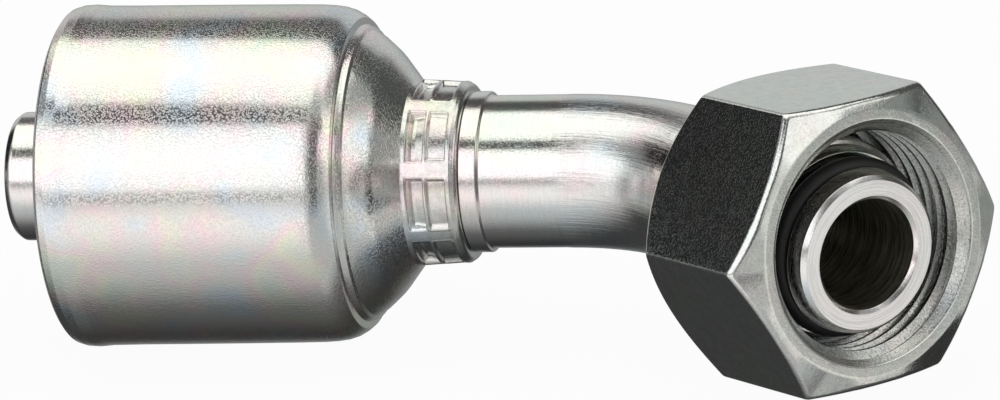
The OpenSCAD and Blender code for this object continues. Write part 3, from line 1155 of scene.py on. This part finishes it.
@dataclass
class Studio:
    """Floor, light tent, lamps, white background and camera."""

    floor_z: float = -22.75
    floor_half: float = 3.0
    floor_glow: float = 0.95
    room_light: float = 0.55
    tent_r: float = 1.5
    centre: Triple = (55.0, -8.0, 0.0)
    lean_start: float = 0.2
    lens: float = 234.0
    camera_place: Triple = (0.24599, -0.77990, 0.27258)
    camera_right: Triple = (0.97477, 0.20719, -0.0830)
    camera_up: Triple = (0.00876, 0.33606, 0.9418)
    camera_back: Triple = (0.22302, -0.91877, 0.32577)
    room_level: float = 0.038
    panels: tuple[Panel, ...] = (
        Panel(0.12, -70, 32, 20, COOL),
        Panel(0.57, -41, 24, 22, COOL),
        Panel(1.08, -14, 17, 15, WARM),
        Panel(0.09, 139, 16, 6, COOL),
        Panel(0.42, 141, 13, 7, COOL, -0.54, 0.16, 0.06),
        Panel(0.60, 171, 20, 5, COOL),
        Panel(0.30, 202, 16, 12, COOL),
        Panel(1.32, 28.5, 24, 3),
        Panel(1.30, 50, 17, 6, COOL, -0.78, 0.36, 0.10),
        Panel(0.44, 4.5, 4, 3, WARM),
        Panel(0.10, 60.5, 5.5, 2.5, COOL, lean=36),
        Panel(1.32, 93, 27.5, 3, CREAM, lean=36),
        Panel(0.30, 108, 34, 12, COOL, -0.84, 0.20, 0.12),
        Panel(0.30, 10, 46, 14, COOL, -1.0, 0.09, 0.05),
        Panel(0.40, 10, 56, 14, COOL, 0.24, 0.10, 0.06),
        Panel(0.12, 24, 38, 14, COOL, 0.46, 0.17, 0.07),
        Panel(0.52, -42, 30, 10, COOL, 0.62, 0.45, 0.08),
        Panel(0.42, 72, 10, 8, COOL, 0.45, 0.20, 0.08),
        Panel(0.34, 102, 26, 10, COOL, 0.72, 0.12, 0.08),
        Panel(0.36, 12, 24, 10, COOL, 0.74, 0.10, 0.06),
        Panel(0.78, 15, 14, 10, CREAM, 0.93, 0.10, 0.05),
        Panel(1.20, 54, 22, 8, CREAM, 0.88, 0.15, 0.06),
        Panel(0.84, -52, 40, 12, CREAM, 0.89, 0.08, 0.05),
        Panel(0.54, -60, 60, 12, CREAM, 1.03, 0.08, 0.03),
        Panel(0.08, 154, 30, 8, COOL, 0.72, 0.36, 0.10),
        Panel(0.60, -118, 36, 10, CREAM, 0.95, 0.09, 0.05),
        Panel(0.28, 140, 60, 15, COOL, 1.0, 0.08, 0.05),
        Panel(0.27, 0, 180, 10, COOL, 1.02, 0.045, 0.02),
        Panel(0.02, 138, 38, 8, COOL, -0.95, 0.27, 0.06),
        Panel(0.05, -112, 24, 10, COOL, -0.64, 0.30, 0.10),
    )

    def floor(self) -> None:
        """Builds the pale floor, white to the camera apart from the fitting's shadow."""
        size, z = self.floor_half, self.floor_z * MM
        mesh = bpy.data.meshes.new("floor")
        corners = [(-size, -size, z), (size, -size, z), (size, size, z), (-size, size, z)]
        mesh.from_pydata(corners, [], [(0, 1, 2, 3)])
        floor = new_piece("floor", mesh)
        made, w = new_material("pale_floor")
        paint = w.node("ShaderNodeBsdfDiffuse", {"Color": (0.9, 0.9, 0.9, 1)})
        glow = w.node("ShaderNodeEmission", {"Color": (1, 1, 1, 1), "Strength": 1.0})
        both = w.node("ShaderNodeMixShader", {
            0: w.math("MULTIPLY", w.direct(), self.floor_glow), 1: paint.outputs[0],
            2: glow.outputs[0]})
        w.node("ShaderNodeOutputMaterial", {"Surface": both.outputs[0]})
        mesh.materials.append(made)
        floor.visible_glossy = False

    def tent(self) -> None:
        """Builds the light tent, which only reflections see."""
        mesh = bpy.data.meshes.new("light_tent")
        globe = bmesh.new()
        bmesh.ops.create_uvsphere(globe, u_segments=32, v_segments=16, radius=self.tent_r)
        globe.to_mesh(mesh)
        globe.free()
        tent = new_piece("light_tent", mesh)
        made, w = new_material("tent_cloth")
        made.cycles.emission_sampling = "NONE"
        place = w.node("ShaderNodeTexCoord").outputs["Object"]
        away = w.node("ShaderNodeVectorMath", {0: place, 1: tuple(c * MM for c in self.centre)},
                      operation="SUBTRACT")
        unit = w.node("ShaderNodeVectorMath", {0: away.outputs[0]}, operation="NORMALIZE")
        x, y, z = w.parts(unit.outputs[0])
        round_axis = w.math("ARCTAN2", z, w.math("MULTIPLY", y, -1.0))
        level: Any = (self.room_level,) * 3
        for panel in self.panels:
            offset = w.math("SUBTRACT", round_axis, math.radians(panel.angle))
            if panel.lean:
                beyond = w.math("MINIMUM", w.math("ADD", x, self.lean_start), 0.0)
                lean = w.math("MULTIPLY", beyond, math.radians(panel.lean))
                offset = w.math("ADD", offset, lean)
            offset = w.math("ABSOLUTE", w.math("WRAP", offset, math.pi, -math.pi))
            spread, soft = math.radians(panel.spread), math.radians(panel.soft)
            mask = w.ramp(offset, spread + soft, spread - soft)
            if panel.width < 2:
                apart = w.math("ABSOLUTE", w.math("SUBTRACT", x, panel.side))
                edge = w.ramp(apart, panel.width + panel.side_soft, panel.width - panel.side_soft)
                mask = w.math("MULTIPLY", mask, edge)
            shade = tuple(panel.level * share for share in panel.tint)
            inputs = {0: mask, **dict(zip(MIX_VECTORS, (level, shade)))}
            level = w.node("ShaderNodeMix", inputs, data_type="VECTOR").outputs[MIX_VECTOR]
        glow = w.node("ShaderNodeEmission", {"Color": level, "Strength": 1.0})
        w.node("ShaderNodeOutputMaterial", {"Surface": glow.outputs[0]})
        mesh.materials.append(made)
        tent.visible_camera = tent.visible_diffuse = tent.visible_shadow = False

    def world(self) -> None:
        """Makes the world white to direct rays, and a plain soft light to the others."""
        world = bpy.data.worlds.new("studio")
        world.use_nodes = True
        world.node_tree.nodes.clear()
        w = Wiring(world.node_tree)
        strength = w.ramp(w.direct(), 0.0, 1.0, self.room_light, 1.0)
        back = w.node("ShaderNodeBackground", {"Color": (1, 1, 1, 1), "Strength": strength})
        w.node("ShaderNodeOutputWorld", {"Surface": back.outputs[0]})
        bpy.context.scene.world = world

    def lamp(self, name: str, place: Triple, size: tuple[float, float], power: float) -> None:
        """Adds a soft rectangular lamp that points at the fitting.

        Args:
            name: Name of the lamp.
            place: Where it hangs, in metres.
            size: Its width and height, in metres.
            power: Its power, in watts.
        """
        data = bpy.data.lights.new(name, "AREA")
        data.shape, data.energy = "RECTANGLE", power
        data.size, data.size_y = size
        lamp = bpy.data.objects.new(name, data)
        bpy.context.scene.collection.objects.link(lamp)
        lamp.location = place
        towards = Vector(self.centre) * MM - Vector(place)
        lamp.rotation_euler = towards.to_track_quat("-Z", "Y").to_euler()
        lamp.visible_glossy = lamp.visible_camera = False

    def camera(self) -> None:
        """Adds the camera at the photo's angle, for an image of 1000 by 400."""
        data = bpy.data.cameras.new("camera")
        data.sensor_width, data.lens = 36.0, self.lens
        data.clip_start, data.clip_end = 0.05, 20.0
        camera = bpy.data.objects.new("camera", data)
        bpy.context.scene.collection.objects.link(camera)
        turn = Matrix((self.camera_right, self.camera_up, self.camera_back)).transposed()
        turn = turn.to_quaternion().to_matrix().to_4x4()
        camera.matrix_world = Matrix.Translation(self.camera_place) @ turn
        bpy.context.scene.camera = camera

    def build(self) -> None:
        """Builds the whole studio."""
        self.floor()
        self.tent()
        self.world()
        self.lamp("top_softbox", (0.05, -0.1, 1.0), (1.2, 0.8), 2.0)
        self.lamp("front_softbox", (-0.2, -0.95, 0.5), (0.9, 0.5), 1.0)
        self.camera()
        bpy.context.scene.view_settings.view_transform = "Standard"
        LOG.info("studio: floor, tent, two lamps and camera")


def main() -> None:
    """Builds the fitting and the studio."""
    logging.basicConfig(level=logging.INFO, format="%(name)s: %(message)s")
    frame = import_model()
    Studio().build()
    CrimpShell().build()
    stem = BentStem()
    stem.build()
    SealRing().build(stem.leg_placement())
    SwivelNut().build(frame["joints"][0])


if __name__ == "__main__":
    main()
